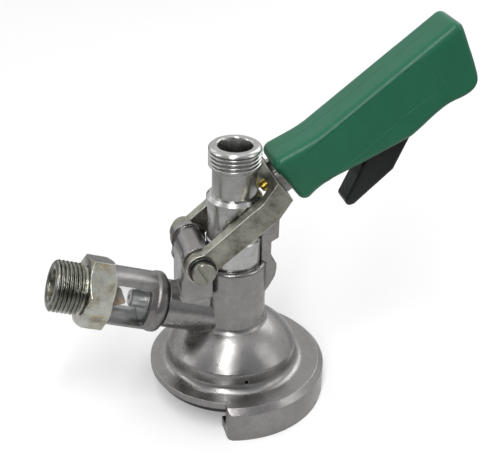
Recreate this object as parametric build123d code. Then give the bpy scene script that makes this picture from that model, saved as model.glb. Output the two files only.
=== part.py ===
from build123d import *
import math
import os

os.makedirs("parts", exist_ok=True)

# Slide-on keg coupler with a lever, a latch and a gas inlet arm. Millimetres, +Z up along the barrel.
# z = 0 is the foot of the skirt. The lever rises towards +X and the gas arm towards -X.
# The lever is drawn raised, with the probe lifted and the coupler shut.

# ---------------------------------------------------------------- fits and clearances
RUNNING = 0.05        # radial gap of a pin in its hole
SLIDING = 0.20        # radial gap of the probe in the barrel
MOVING = 0.35         # gap between pieces that pass each other
SEAT = 0.05           # gap round a piece that is screwed or pushed into a socket
DEEP = 200.0          # reach of a cut that goes right through
RIBBON = 0.6          # overlap that joins two shapes of one casting

# ---------------------------------------------------------------- flange, skirt and keg slot
FLANGE_R = 37.8       # open side of the flange
FLANGE_TOP = 16.2
FLANGE_FOOT = 13.0    # lower edge of the flange rim
FLANGE_ROUND = 0.6
SKIRT_R = 43.3
SKIRT_SHOULDER = 13.7 # lower edge of the skirt's chamfer
SKIRT_CHAMFER = 2.5
SKIRT_END_X = -12.0   # where the skirt stops, towards the open side
SKIRT_CORNER_R = 3.0
NECK_HALF = 36.6      # half width of the slot for the keg neck's flange
LIP_HALF = 30.2       # half width between the two lips that hook under that flange
LIP_THICK = 4.6

# ---------------------------------------------------------------- dome and barrel
WALL_R = 29.5         # short upright wall under the dome
WALL_TOP = 25.0
WALL_FILLET = 4.0
DOME_BULGE = 1.3
BARREL_R = 14.8
BARREL_FOOT = 38.0    # where the barrel meets the dome
BARREL_TOP = 68.2
RIM_ROUND = 1.6
SHOULDER_ROUND = 1.5
BARREL_FILLET = 3.0
BORE_R = 12.4
CAVITY_R = 20.0       # room for the keg valve's neck
CAVITY_TOP = 26.5
VENT_R = 0.9
VENT_DEG = -91.5
VENT_Z = 20.9

# ---------------------------------------------------------------- seal under the flange
KEG_SEAL_R = 35.4
KEG_SEAL_BORE_R = 22.0
KEG_SEAL_THICK = 4.4
KEG_SEAL_TOP = 13.8

# ---------------------------------------------------------------- pivot pillar
PIVOT_X = -18.2
PIVOT_Z = 75.0
BOSS_R = 6.6
BOSS_END_R = 7.8
BOSS_HALF = 12.4
EAR_THICK = 3.0
EAR_X0 = -25.6
EAR_X1 = -12.4
EAR_FOOT = 57.0
EAR_ROOT = 5.0         # width of the web that joins each ear to the barrel
PILLAR_HALF = 8.6
PILLAR_BACK = -25.2

# ---------------------------------------------------------------- latch rack
RACK_HALF = 5.2
RACK_X = 19.5
RACK_TOOTH_X = 19.0
RACK_ROOT_X = 16.2
RACK_FOOT = 40.0
RACK_TOOTH_Z = 64.6
NOTCH_FOOT = 67.2
NOTCH_HEIGHT = 11.4
RACK_TOP = 95.0
RACK_ROUND = 0.8

# ---------------------------------------------------------------- gas arm, measured along its own axis
ARM_DEG = 18.8
ARM_AXIS_Z = 38.5     # where the arm's axis meets the barrel's
ROOT_R = 10.75
ROOT_END = 34.2
SOCKET_R = 8.0
SOCKET_DEPTH = 10.0
GAS_PASSAGE_R = 4.0
CAGE_SEAL_THICK = 1.2
CAGE_SEAL_R = 9.9
CAGE_RING_R = 13.7
CAGE_RING_LENGTH = 6.0
CAGE_RING_ROUND = 2.4
CAGE_R = 13.2
CAGE_BORE_R = 10.8
CAGE_LENGTH = 24.8    # ring and window together, up to the hexagon
CAGE_FLOOR = 6.4      # from the ring's back face to the floor
CAGE_THREAD_R = 12.2
CAGE_THREAD_LENGTH = 5.8
WINDOW_HEIGHT = 17.6
WINDOW_START = 8.0    # from the ring's back face
WINDOW_END_WALL = 0.5 # what is left of the wall before the hexagon
WINDOW_CORNER_R = 2.0
WINDOW_DEG = 6.5        # the window is turned a little about the arm

NOZZLE_DISC_R = 8.9
NOZZLE_DISC_THICK = 1.6
NOZZLE_R = 4.0
NOZZLE_REACH = 6.4
NOZZLE_HOLE_R = 1.3
NOZZLE_TAIL = 3.2
NOZZLE_CHAMFER = 0.8

TUBE_WALL = 1.4
TUBE_SEAL_THICK = 1.5

HEX_FLATS = 29.2
HEX_LENGTH = 11.5
HEX_DEG = 49.0
HEX_BEVEL_DEG = 30.0
THREAD_NECK_R = 10.2
THREAD_NECK_LENGTH = 1.2
GAS_THREAD_R = 11.455
GAS_THREAD_LENGTH = 13.3
GAS_BORE_R = 6.7
THREAD_CHAMFER = 1.2
VALVE_POCKET_R = 8.2
LIP_FLANGE_R = 8.0
LIP_FLANGE_THICK = 1.8
LIP_BODY_R = 5.2
LIP_BODY_LENGTH = 5.4
LIP_WEDGE_LENGTH = 8.0
LIP_BORE_R = 3.4
LIP_EDGE_HALF = 0.5   # half thickness of the pinched edge
CLIP_THICK = 1.2

# ---------------------------------------------------------------- probe
PROBE_TOP = 123.8
OUTLET_BORE_R = 7.45
OUTLET_DEPTH = 44.0
OUTLET_FACE_R = 9.8   # flat ring left round the outlet
BEER_THREAD_R = 11.455
BEER_THREAD_LENGTH = 8.9
PROBE_TUBE_R = 9.75
COLLAR_R = 12.25
COLLAR_TOP = 101.2
COLLAR_FOOT = 96.0
COLLAR_CHAMFER = 1.5
NECK_R = 11.7
POCKET_TOP = 93.2
POCKET_HEIGHT = 11.4
POCKET_FLAT = 9.9     # distance of the pocket's flats from the axis
PISTON_TOP = 80.6
PISTON_LENGTH = 23.0
PISTON_CHAMFER = 0.7
STEM_R = 8.9
STEM_BORE_R = 5.0
NOSE_FOOT = 18.0
NOSE_R = 11.2
NOSE_THICK = 3.8
NOSE_CHAMFER = 1.0
PROBE_SEAL_R = 14.2
PROBE_SEAL_THICK = 4.2
PROBE_SEAL_BORE_R = 8.0
ORING_WIRE_R = 1.2
ORING_OVERALL_R = 12.3
ORING_PITCH = 4.6
ORING_START = 2.6     # from the piston's foot to the lower ring's centre
BALL_R = 6.2
BALL_LIFT = 3.5
BALL_GAP = 0.1
BALL_CLIP_THICK = 1.4
BALL_CLIP_GROOVE = 0.6
BALL_CLIP_WIDTH = 1.8

# ---------------------------------------------------------------- lever, in its own slanted frame
LEVER_DEG = 38.6      # the raised lever's angle above level
LEVER_SWING = 38.0    # how far it swings down
FORK_HALF = 17.5
ARM_GAP = 12.75       # half of the room between the two arms
FORK_END_R = 6.9
FORK_DEPTH = 10.2
FORK_BEND = 38.6      # where the arms turn up, from the pivot
FORK_HEAD = 48.5      # outer face of the cross plate
FORK_HEAD_LOW = -1.8
FORK_HEAD_TOP = 9.2
FORK_PLATE = 4.2
FORK_INNER_R = 3.0
FORK_CROWN = 0.9      # extra depth above the arm at the bend
LUG_REACH = 20.5
LUG_R = 4.8
BOLT_LINE = 2.2       # height of the bolt's axis above the pivot's line

SCREW_SHANK_R = 4.0
SCREW_HEAD_R = 5.1
SCREW_HEAD_THICK = 3.4
SCREW_THREAD_R = 3.0
SCREW_THREAD_LENGTH = 8.0
SCREW_SLOT_WIDTH = 1.7
SCREW_SLOT_DEPTH = 1.5
SCREW_SLOT_DEG = 120.0
SCREW_HEAD_CHAMFER = 0.4
SHOULDER_LENGTH = 6.05
WASHER_R = 6.1
WASHER_THICK = 0.9

# ---------------------------------------------------------------- handle
FRAME_Y = 7.55        # mid plane of each frame plate
FRAME_THICK = 2.4
FRAME_LOW = -2.4
FRAME_TOP = 6.6
TENON_LOW = -0.6
TENON_TOP = 5.4
EAR_HALF = 4.0
WEB_START = 66.0
WEB_THICK = 2.4

GRIP_HALF = 10.5
GRIP_FRONT = 50.7
GRIP_ROUND = 3.6
# side outline of the grip, as (along the lever, across it) places
GRIP_FLARE = [(GRIP_FRONT, 13.6), (56.0, 13.0), (64.0, 11.2), (76.0, 9.8)]
GRIP_BACK = [(148.0, 9.5), (146.0, -2.0), (142.9, -14.5)]
GRIP_HEEL = [(142.9, -14.5), (140.6, -20.2), (134.6, -22.5)]
GRIP_NOTCH = [(134.6, -22.5), (126.0, -20.4), (117.0, -20.0), (104.0, -20.9)]
GRIP_BELLY = [(104.0, -20.9), (90.0, -17.8), (76.0, -14.4), (62.0, -11.4), (GRIP_FRONT, -13.4)]
CAVITY_SPARE = 1.0     # room left beyond the frame
TRIGGER_SLOT_START = 61.0
TRIGGER_SLOT_END = 110.0
TRIGGER_SLOT_HALF = 6.05
PIN_R = 1.5

TRIGGER_HALF = 5.4
TRIGGER_OUTLINE = [
    (107.2, -12.0),
    (106.6, -21.3),
    (89.5, -30.6),
    (66.5, -32.0),
    (63.6, -30.6),
    (64.4, -27.6),
    (75.5, -21.8),
    (88.0, -14.5),
    (97.0, -9.4),
]
TRIGGER_PIVOT_U = 101.0
TRIGGER_PIVOT_V = -13.5
TRIGGER_SWING = 16.0
TRIGGER_EYE_R = 4.2
TRIGGER_HORN_R = 2.6
TRIGGER_HORN_WIDTH = 3.6
STALK_HALF = 1.4
TRIGGER_CORNER_R = 1.9
TRIGGER_ROUND = 1.1

BOLT_TIP = 40.3
BOLT_R = 2.6
BOLT_TIP_CHAMFER = 0.9
COLLAR_START = 52.0
COLLAR_THICK = 2.2
BOLT_COLLAR_R = 4.4
ROD_R = 2.0
ROD_SPIGOT = 4.0
YOKE_LENGTH = 11.0
YOKE_HALF = 4.0
YOKE_DROP = 4.2       # yoke below the bolt's line
YOKE_ROOF = 1.2
YOKE_MOUTH_HALF = 2.3
SPRING_WIRE_R = 0.5
SPRING_R = 3.6
SPRING_TURNS = 5

# ---------------------------------------------------------------- worked-out places
ARM_DIR = (-math.cos(math.radians(ARM_DEG)), 0, math.sin(math.radians(ARM_DEG)))
ARM_UP = (math.sin(math.radians(ARM_DEG)), 0, math.cos(math.radians(ARM_DEG)))
ARM = Plane(origin=(0, 0, ARM_AXIS_Z), x_dir=ARM_UP, z_dir=ARM_DIR)
PIVOT = Vector(PIVOT_X, 0, PIVOT_Z)
LEVER_U = Vector(math.cos(math.radians(LEVER_DEG)), 0, math.sin(math.radians(LEVER_DEG)))
LEVER_V = Vector(-LEVER_U.Z, 0, LEVER_U.X)
LEVER_SIDE = Plane(origin=PIVOT, x_dir=LEVER_U, z_dir=(0, -1, 0))
LEVER_LINE = Plane(origin=PIVOT + LEVER_V * BOLT_LINE, x_dir=(0, 1, 0), z_dir=LEVER_U)

CAGE_START = ROOT_END + CAGE_SEAL_THICK
HEX_START = CAGE_START + CAGE_LENGTH
FLOOR = CAGE_START + CAGE_FLOOR
CAGE_END = HEX_START + CAGE_THREAD_LENGTH
TUBE_R = CAGE_BORE_R - SLIDING
TUBE_START = FLOOR + TUBE_SEAL_THICK
TUBE_END = CAGE_END - TUBE_SEAL_THICK
ARM_END = HEX_START + HEX_LENGTH + GAS_THREAD_LENGTH
HEX_SHELF = CAGE_END

PISTON_R = BORE_R - SLIDING
PISTON_FOOT = PISTON_TOP - PISTON_LENGTH
POCKET_FOOT = POCKET_TOP - POCKET_HEIGHT
BALL_SEAT = PROBE_TOP - OUTLET_DEPTH
BALL_CENTRE = BALL_SEAT + math.sqrt(BALL_R**2 - STEM_BORE_R**2) + BALL_GAP
BALL_CLIP_FOOT = BALL_CENTRE + BALL_R + BALL_LIFT + MOVING
NOSE_TOP = NOSE_FOOT + NOSE_THICK
PASSING_R = COLLAR_R + MOVING + 0.15
LATCH_CLEAR_R = BOLT_TIP - 2 * MOVING
COLLAR_END = COLLAR_START + COLLAR_THICK
YOKE_START = TRIGGER_PIVOT_U - YOKE_LENGTH / 2
HORN_ROOM_R = TRIGGER_HORN_R + MOVING
YOKE_LOW = BOLT_LINE - YOKE_DROP
YOKE_TOP = BOLT_LINE + HORN_ROOM_R + YOKE_ROOF
LATCH_PULL = (BOLT_LINE - TRIGGER_PIVOT_V) * math.sin(math.radians(TRIGGER_SWING))
END_WEB_START = YOKE_START + YOKE_LENGTH + LATCH_PULL + 2 * MOVING
FRAME_END = END_WEB_START + WEB_THICK


# ---------------------------------------------------------------- helpers
def save(node, solid):
    """Write one sub-part under its node's name."""
    export_step(solid, f"parts/{node}.step")


def turned(*corners):
    """A solid turned about Z from (radius, height) corners."""
    outline = Polyline(*[(r, 0, z) for r, z in corners], close=True)
    return revolve(make_face(outline), Axis.Z)


def rod(radius, start, end):
    """A plain round bar along Z."""
    return Pos(0, 0, start) * Cylinder(radius, end - start, align=(Align.CENTER, Align.CENTER, Align.MIN))


def tube(outer, inner, start, end):
    """A plain tube along Z."""
    return rod(outer, start, end) - rod(inner, start - 1, end + 1)


def block(x0, x1, y0, y1, z0, z1):
    """A box between two corners."""
    return Pos((x0 + x1) / 2, (y0 + y1) / 2, (z0 + z1) / 2) * Box(x1 - x0, y1 - y0, z1 - z0)


def slab(points, low, high, plane=Plane.XZ):
    """A plate with the outline of points in plane, between two values of Y."""
    face = plane * make_face(Polyline(*points, close=True))
    middle = Pos(0, (low + high) / 2, 0) * face
    return extrude(middle, (high - low) / 2, both=True)


def across(radius, low, high, x=0.0, z=0.0):
    """A round bar along Y."""
    bar = Cylinder(radius, high - low, rotation=(90, 0, 0))
    return Pos(x, (low + high) / 2, z) * bar


def lever_bar(radius, low, high, u, v):
    """A round bar along Y at a place in the lever's frame."""
    centre = PIVOT + LEVER_U * u + LEVER_V * v
    return across(radius, low, high, centre.X, centre.Z)


def lever_block(u0, u1, low, high, v0, v1):
    """A box in the lever's frame, between two values of Y."""
    return slab([(u0, v0), (u1, v0), (u1, v1), (u0, v1)], low, high, LEVER_SIDE)


def mirrored(solid):
    """A solid with its twin on the other side of the lever's middle plane."""
    return solid + mirror(solid, Plane.XZ)


def circles_at(solid, height, radius=None):
    """The round edges of a solid at one height, or only those of one radius."""
    found = solid.edges().filter_by(GeomType.CIRCLE)
    found = found.filter_by(lambda e: abs(e.arc_center.Z - height) < 0.01)
    if radius is None:
        return found
    return found.filter_by(lambda e: abs(e.radius - radius) < 0.01)


# ---------------------------------------------------------------- body casting
def bell():
    """Flange, wall, dome and barrel as one turned shape, before anything is cut out."""
    middle_r = (WALL_R + BARREL_R) / 2 + DOME_BULGE * math.sin(math.radians(45))
    middle_z = (WALL_TOP + BARREL_FOOT) / 2 + DOME_BULGE * math.cos(math.radians(45))
    outline = [
        Line((0, FLANGE_FOOT), (FLANGE_R, FLANGE_FOOT)),
        Line((FLANGE_R, FLANGE_FOOT), (FLANGE_R, FLANGE_TOP)),
        Line((FLANGE_R, FLANGE_TOP), (WALL_R, FLANGE_TOP)),
        Line((WALL_R, FLANGE_TOP), (WALL_R, WALL_TOP)),
        ThreePointArc((WALL_R, WALL_TOP), (middle_r, middle_z), (BARREL_R, BARREL_FOOT)),
        Line((BARREL_R, BARREL_FOOT), (BARREL_R, BARREL_TOP)),
        Line((BARREL_R, BARREL_TOP), (0, BARREL_TOP)),
        Line((0, BARREL_TOP), (0, FLANGE_FOOT)),
    ]
    solid = revolve(Plane.XZ * make_face(outline), Axis.Z)
    solid = fillet(circles_at(solid, FLANGE_TOP, WALL_R), WALL_FILLET)
    solid = fillet(circles_at(solid, WALL_TOP), SHOULDER_ROUND)
    solid = fillet(circles_at(solid, BARREL_FOOT), BARREL_FILLET)
    solid = fillet(circles_at(solid, BARREL_TOP, BARREL_R), RIM_ROUND)
    return fillet(circles_at(solid, FLANGE_TOP, FLANGE_R), FLANGE_ROUND)


def skirt():
    """The wall that closes the keg slot on the lever's side, with its hooked lips."""
    ring = turned(
        (LIP_HALF, 0),
        (SKIRT_R, 0),
        (SKIRT_R, SKIRT_SHOULDER),
        (SKIRT_R - SKIRT_CHAMFER, FLANGE_TOP),
        (LIP_HALF, FLANGE_TOP),
    )
    kept = ring & block(SKIRT_END_X, DEEP, -DEEP, DEEP, -1, DEEP)
    ends = kept.edges().filter_by(Axis.Z).filter_by(lambda e: abs(e.center().X - SKIRT_END_X) < 0.01)
    outer = ends.filter_by(lambda e: abs(e.center().Y) > NECK_HALF)
    return fillet(outer, SKIRT_CORNER_R)


def slot_shape(half, low, high):
    """The U-shaped room that a disc of the keg neck sweeps as the coupler slides on."""
    return rod(half, low, high) + block(-DEEP, 0, -half, half, low, high)


def pillar():
    """The pivot boss on its pillar, with a thick ear on each side."""
    back = slab(
        [
            (PILLAR_BACK, PIVOT_Z),
            (PILLAR_BACK, EAR_FOOT - 6),
            (PILLAR_BACK + 6, ARM_AXIS_Z + 4),
            (-BORE_R, ARM_AXIS_Z + 4),
            (-BORE_R, PIVOT_Z),
        ],
        -PILLAR_HALF,
        PILLAR_HALF,
    )
    boss = across(BOSS_R, -BOSS_HALF, BOSS_HALF, PIVOT_X, PIVOT_Z)
    ear_face = [
        (EAR_X0 + 1.5, PIVOT_Z),
        (EAR_X0, EAR_FOOT + 10),
        (EAR_X0 + 5, EAR_FOOT),
        (EAR_X1, EAR_FOOT),
        (EAR_X1, BARREL_TOP - RIM_ROUND),
        (PIVOT_X + BOSS_END_R - 0.5, PIVOT_Z),
    ]
    ear = slab(ear_face, -BOSS_HALF, -BOSS_HALF + EAR_THICK)
    ear += across(BOSS_END_R, -BOSS_HALF, -BOSS_HALF + EAR_THICK, PIVOT_X, PIVOT_Z)
    inner = RIBBON - PILLAR_HALF
    ear += block(EAR_X1 - EAR_ROOT, EAR_X1, -BOSS_HALF, inner, EAR_FOOT, BARREL_TOP - RIM_ROUND)
    return back + boss + mirrored(ear)


def rack():
    """The upright lug that faces the latch bolt: two teeth, a notch and a crown."""
    notch_top = NOTCH_FOOT + NOTCH_HEIGHT
    lug = slab(
        [
            (0, RACK_FOOT),
            (BARREL_R - RIBBON, RACK_FOOT),
            (RACK_TOOTH_X, RACK_TOOTH_Z - 1.5),
            (RACK_TOOTH_X, RACK_TOOTH_Z + 0.6),
            (RACK_ROOT_X, NOTCH_FOOT + 0.6),
            (RACK_ROOT_X, notch_top - 1.2),
            (RACK_X, notch_top + 0.6),
            (RACK_X, RACK_TOP),
            (0, RACK_TOP),
        ],
        -RACK_HALF,
        RACK_HALF,
    )
    reach = across(LATCH_CLEAR_R, -DEEP, DEEP, PIVOT_X, PIVOT_Z)
    lug &= reach
    foot = lug.edges().filter_by(Axis.Z).filter_by(lambda e: e.center().X > RACK_ROOT_X - 0.1)
    return fillet(foot, RACK_ROUND)


def arm_root():
    """The short round arm that the sight cage screws into."""
    return ARM * rod(ROOT_R, 0, ROOT_END)


def body_casting():
    """The cast body: everything above, joined, then bored and cut."""
    solid = bell() + skirt() + pillar() + rack() + arm_root()
    solid -= rod(BORE_R, CAVITY_TOP, BARREL_TOP)
    solid -= rod(PASSING_R, BARREL_TOP, DEEP)
    solid -= rod(CAVITY_R, -1, CAVITY_TOP)
    solid -= slot_shape(LIP_HALF, -1, LIP_THICK)
    solid -= slot_shape(NECK_HALF, LIP_THICK, FLANGE_FOOT)
    solid -= rod(KEG_SEAL_R + SEAT, FLANGE_FOOT - 1, KEG_SEAL_TOP)
    solid -= ARM * rod(GAS_PASSAGE_R, BORE_R / 2, ROOT_END)
    solid -= ARM * rod(SOCKET_R, ROOT_END - SOCKET_DEPTH, ROOT_END + 1)
    hole = rod(VENT_R, CAVITY_R - 1, WALL_R + 2)
    solid -= Pos(0, 0, VENT_Z) * Rot(0, 0, VENT_DEG) * Rot(0, 90, 0) * hole
    bore = SCREW_THREAD_LENGTH + 0.5
    for side in (-1, 1):
        deep, face = sorted((side * (BOSS_HALF - bore), side * (BOSS_HALF + 1)))
        solid -= across(SCREW_THREAD_R + SEAT, deep, face, PIVOT_X, PIVOT_Z)
    return solid


def keg_seal():
    """The flat ring under the flange that seals on top of the keg neck."""
    return tube(KEG_SEAL_R, KEG_SEAL_BORE_R, KEG_SEAL_TOP - KEG_SEAL_THICK, KEG_SEAL_TOP)


# ---------------------------------------------------------------- gas arm
def cage_seal():
    """The ring in the groove between the arm's root and the sight cage."""
    return ARM * tube(CAGE_SEAL_R, SOCKET_R, ROOT_END, CAGE_START)


def sight_cage():
    """The cast holder of the sight tube: a bulged ring, two bars and a threaded end."""
    ring = rod(CAGE_RING_R, CAGE_START, CAGE_START + CAGE_RING_LENGTH)
    solid = fillet(ring.edges().filter_by(GeomType.CIRCLE), CAGE_RING_ROUND)
    solid += rod(CAGE_R, CAGE_START + 1, HEX_START)
    solid += rod(CAGE_THREAD_R, HEX_START - 1, CAGE_END)
    solid += rod(SOCKET_R - SEAT, ROOT_END - SOCKET_DEPTH + MOVING, CAGE_START + 1)
    solid -= rod(CAGE_BORE_R, FLOOR, CAGE_END + 1)
    solid -= rod(NOZZLE_R + SEAT, FLOOR - NOZZLE_TAIL - MOVING, FLOOR)
    solid -= rod(GAS_PASSAGE_R, 0, FLOOR)
    half = WINDOW_HEIGHT / 2
    window = block(-half, half, -DEEP, DEEP, CAGE_START + WINDOW_START, HEX_START - WINDOW_END_WALL)
    window = fillet(window.edges().filter_by(Axis.Y), WINDOW_CORNER_R)
    return ARM * (solid - Rot(0, 0, WINDOW_DEG) * window)


def flow_nozzle():
    """The machined disc in the cage's floor with the small tube that shows the gas flow."""
    solid = rod(NOZZLE_DISC_R, FLOOR, FLOOR + NOZZLE_DISC_THICK)
    solid += rod(NOZZLE_R, FLOOR - NOZZLE_TAIL, FLOOR + NOZZLE_DISC_THICK + NOZZLE_REACH)
    solid -= rod(NOZZLE_HOLE_R, FLOOR - NOZZLE_TAIL - 1, DEEP)
    tip = circles_at(solid, FLOOR + NOZZLE_DISC_THICK + NOZZLE_REACH, NOZZLE_R)
    return ARM * chamfer(tip, NOZZLE_CHAMFER)


def sight_tube():
    """The clear tube inside the cage."""
    return ARM * tube(TUBE_R, TUBE_R - TUBE_WALL, TUBE_START, TUBE_END)


def tube_seal(start):
    """One flat ring at an end of the sight tube."""
    return ARM * tube(TUBE_R, TUBE_R - TUBE_WALL, start, start + TUBE_SEAL_THICK)


def inlet_nipple():
    """The plated hexagon that closes the cage, with the male thread for the gas line."""
    flats = RegularPolygon(HEX_FLATS / 2, 6, major_radius=False, rotation=HEX_DEG)
    hexagon = Pos(0, 0, HEX_START) * extrude(flats, HEX_LENGTH)
    corner = HEX_FLATS / math.sqrt(3)
    slope = math.tan(math.radians(HEX_BEVEL_DEG))
    rise = (corner - HEX_FLATS / 2) * slope
    low = HEX_START
    high = HEX_START + HEX_LENGTH
    bevel = turned(
        (0, low), (HEX_FLATS / 2, low), (corner, low + rise), (corner, high - rise), (HEX_FLATS / 2, high), (0, high)
    )
    solid = hexagon & bevel
    solid += rod(THREAD_NECK_R, high - 1, high + THREAD_NECK_LENGTH)
    solid += turned(
        (0, high + THREAD_NECK_LENGTH),
        (GAS_THREAD_R, high + THREAD_NECK_LENGTH),
        (GAS_THREAD_R, ARM_END - THREAD_CHAMFER),
        (GAS_THREAD_R - THREAD_CHAMFER, ARM_END),
        (0, ARM_END),
    )
    solid -= rod(CAGE_THREAD_R + SEAT, HEX_START - 1, HEX_SHELF)
    solid -= rod(VALVE_POCKET_R, HEX_SHELF - 1, HEX_SHELF + LIP_FLANGE_THICK + CLIP_THICK)
    solid -= rod(GAS_BORE_R, 0, ARM_END + 1)
    return ARM * solid


def lip_valve():
    """The rubber duckbill that lets gas in and not out: a flanged tube pinched to a wedge."""
    foot = HEX_SHELF + CLIP_THICK
    neck = HEX_SHELF - LIP_BODY_LENGTH
    tip = neck - LIP_WEDGE_LENGTH
    solid = rod(LIP_FLANGE_R, foot, foot + LIP_FLANGE_THICK) + rod(LIP_BODY_R, tip, foot)
    side = [
        (LIP_BODY_R + 1, tip - 1),
        (LIP_BODY_R + 1, neck),
        (LIP_BODY_R, neck),
        (LIP_EDGE_HALF, tip),
        (LIP_EDGE_HALF, tip - 1),
    ]
    wedge = slab(side, -DEEP, DEEP)
    solid -= wedge
    solid -= mirror(wedge, Plane.YZ)
    return ARM * (solid - rod(LIP_BORE_R, neck, DEEP))


def valve_clip():
    """The spring ring that holds the duckbill in its pocket."""
    return ARM * tube(VALVE_POCKET_R, LIP_BODY_R + SLIDING, HEX_SHELF, HEX_SHELF + CLIP_THICK)


# ---------------------------------------------------------------- probe
def probe_tube():
    """The turned stem from the beer thread down to the nose, with its piston and milled flats."""
    thread_foot = PROBE_TOP - BEER_THREAD_LENGTH
    bevel = BEER_THREAD_R - OUTLET_FACE_R
    solid = turned(
        (0, NOSE_FOOT),
        (NOSE_R - NOSE_CHAMFER, NOSE_FOOT),
        (NOSE_R, NOSE_FOOT + NOSE_CHAMFER),
        (NOSE_R, NOSE_TOP),
        (PROBE_SEAL_BORE_R, NOSE_TOP),
        (PROBE_SEAL_BORE_R, NOSE_TOP + PROBE_SEAL_THICK),
        (STEM_R, NOSE_TOP + PROBE_SEAL_THICK),
        (STEM_R, PISTON_FOOT),
        (PISTON_R - PISTON_CHAMFER, PISTON_FOOT),
        (PISTON_R, PISTON_FOOT + PISTON_CHAMFER),
        (PISTON_R, PISTON_TOP - PISTON_CHAMFER),
        (PISTON_R - PISTON_CHAMFER, PISTON_TOP),
        (NECK_R, PISTON_TOP),
        (NECK_R, COLLAR_FOOT),
        (COLLAR_R, COLLAR_FOOT),
        (COLLAR_R, COLLAR_TOP - COLLAR_CHAMFER),
        (COLLAR_R - COLLAR_CHAMFER, COLLAR_TOP),
        (PROBE_TUBE_R, COLLAR_TOP),
        (PROBE_TUBE_R, thread_foot - THREAD_CHAMFER),
        (BEER_THREAD_R, thread_foot),
        (BEER_THREAD_R, PROBE_TOP - bevel),
        (OUTLET_FACE_R, PROBE_TOP),
        (0, PROBE_TOP),
    )
    solid -= rod(STEM_BORE_R, NOSE_FOOT - 1, DEEP)
    solid -= rod(OUTLET_BORE_R, BALL_SEAT, DEEP)
    groove_r = OUTLET_BORE_R + BALL_CLIP_GROOVE
    solid -= rod(groove_r, BALL_CLIP_FOOT, BALL_CLIP_FOOT + BALL_CLIP_THICK)
    for centre in oring_centres():
        half = ORING_WIRE_R + SEAT
        solid -= tube(PISTON_R + 1, oring_bore(), centre - half, centre + half)
    for side in (-1, 1):
        near, far = sorted((side * POCKET_FLAT, side * DEEP))
        solid -= block(-DEEP, DEEP, near, far, POCKET_FOOT, POCKET_TOP)
    return solid


def oring_centres():
    """The heights of the piston's two sealing rings."""
    return [PISTON_FOOT + ORING_START, PISTON_FOOT + ORING_START + ORING_PITCH]


def oring_bore():
    """The radius of the grooves that the sealing rings sit in."""
    return ORING_OVERALL_R - 2 * ORING_WIRE_R


def piston_seal(centre):
    """One round sealing ring on the piston."""
    return Pos(0, 0, centre) * Torus(ORING_OVERALL_R - ORING_WIRE_R, ORING_WIRE_R)


def probe_seal():
    """The rubber washer above the nose: it shuts the gas way and presses on the keg valve."""
    ring = tube(PROBE_SEAL_R, PROBE_SEAL_BORE_R, NOSE_TOP, NOSE_TOP + PROBE_SEAL_THICK)
    return chamfer(circles_at(ring, NOSE_TOP, PROBE_SEAL_R), NOSE_CHAMFER)


def check_ball():
    """The loose ball that keeps beer from running back down."""
    return Pos(0, 0, BALL_CENTRE) * Sphere(BALL_R)


def ball_clip():
    """The ring in the outlet bore that stops the ball's lift."""
    outer = OUTLET_BORE_R + BALL_CLIP_GROOVE
    return tube(outer, outer - BALL_CLIP_WIDTH, BALL_CLIP_FOOT, BALL_CLIP_FOOT + BALL_CLIP_THICK)


# ---------------------------------------------------------------- lever
def fork_lever():
    """The cast fork: two arms, a cross plate and the two lugs that lift the probe."""
    half = FORK_DEPTH / 2
    side = [
        (0, -half),
        (FORK_BEND, -half),
        (FORK_HEAD, FORK_HEAD_LOW),
        (FORK_HEAD, FORK_HEAD_TOP),
        (FORK_BEND, half + FORK_CROWN),
        (0, half),
    ]
    solid = slab(side, -FORK_HALF, FORK_HALF, LEVER_SIDE)
    solid += lever_bar(FORK_END_R, -FORK_HALF, FORK_HALF, 0, 0)
    inside = lever_block(-2 * FORK_END_R, FORK_HEAD - FORK_PLATE, -ARM_GAP, ARM_GAP, -DEEP, DEEP)
    upright = inside.edges().filter_by(lambda e: abs(e.length - 2 * DEEP) < 0.1)
    inside = fillet(upright, FORK_INNER_R)
    solid -= inside
    for side in (-1, 1):
        near, far = sorted((side * (POCKET_FLAT + MOVING), side * (ARM_GAP + RIBBON)))
        solid += lever_bar(LUG_R, near, far, LUG_REACH, 0)
        near, far = sorted((side * (ARM_GAP - 1), side * (FORK_HALF + 1)))
        solid -= lever_bar(SCREW_SHANK_R + RUNNING, near, far, 0, 0)
        near, far = frame_faces(side)
        solid -= lever_block(FORK_HEAD - FORK_PLATE - 1, FORK_HEAD + 1, near, far, TENON_LOW, TENON_TOP)
    return solid - LEVER_LINE * rod(BOLT_R + SLIDING, FORK_HEAD - FORK_PLATE - 1, FORK_HEAD + 1)


def frame_faces(side):
    """The two values of Y that one frame plate lies between."""
    return sorted((side * (FRAME_Y - FRAME_THICK / 2), side * (FRAME_Y + FRAME_THICK / 2)))


def pivot_screw(side):
    """One slotted shoulder screw, on the side given by the sign of Y."""
    head = BOSS_HALF + SHOULDER_LENGTH
    tip = BOSS_HALF - SCREW_THREAD_LENGTH
    solid = rod(SCREW_SHANK_R, BOSS_HALF, head) + rod(SCREW_THREAD_R, tip, BOSS_HALF)
    cap = rod(SCREW_HEAD_R, head, head + SCREW_HEAD_THICK)
    solid += chamfer(circles_at(cap, head + SCREW_HEAD_THICK), SCREW_HEAD_CHAMFER)
    top = head + SCREW_HEAD_THICK
    half = SCREW_SLOT_WIDTH / 2
    slot = block(-DEEP, DEEP, -half, half, top - SCREW_SLOT_DEPTH, top + 1)
    solid -= Rot(0, 0, SCREW_SLOT_DEG) * slot
    return Plane(origin=PIVOT, x_dir=(1, 0, 0), z_dir=(0, side, 0)) * solid


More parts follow.
